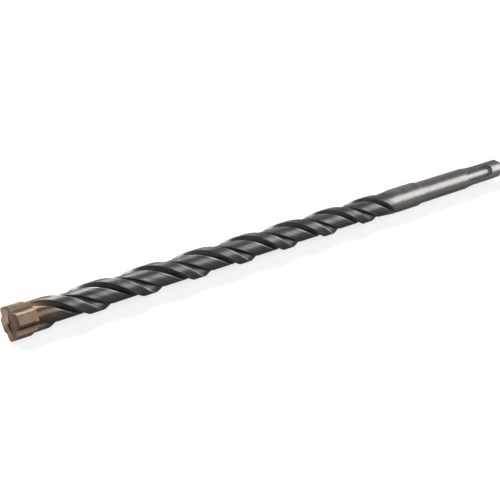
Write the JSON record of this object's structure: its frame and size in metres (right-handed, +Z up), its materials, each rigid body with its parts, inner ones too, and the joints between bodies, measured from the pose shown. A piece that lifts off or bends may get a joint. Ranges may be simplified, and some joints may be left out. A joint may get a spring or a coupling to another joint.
{
  "type": "sds plus drill bit",
  "caption": "Rotary hammer drill bit with a spiral fluted steel shaft, a cross-shaped carbide head and a slotted round shank.",
  "frame": {"origin": "centre of the shank's end face", "axes": "+X along the bit's axis, out of the shank's end, with the tip at -X; +Z up with the bit lying on its flutes and the head's wings at 45 degrees"},
  "size_m": [0.31, 0.0112, 0.0112],
  "materials": {
    "steel": "satin ground steel, darker and oiled in the flutes",
    "carbide": "matt sintered carbide with a bronze brown heat tint"
  },
  "bodies": {
    "root": {"steel_body": "steel", "carbide_head": "carbide"}
  },
  "joints": []
}
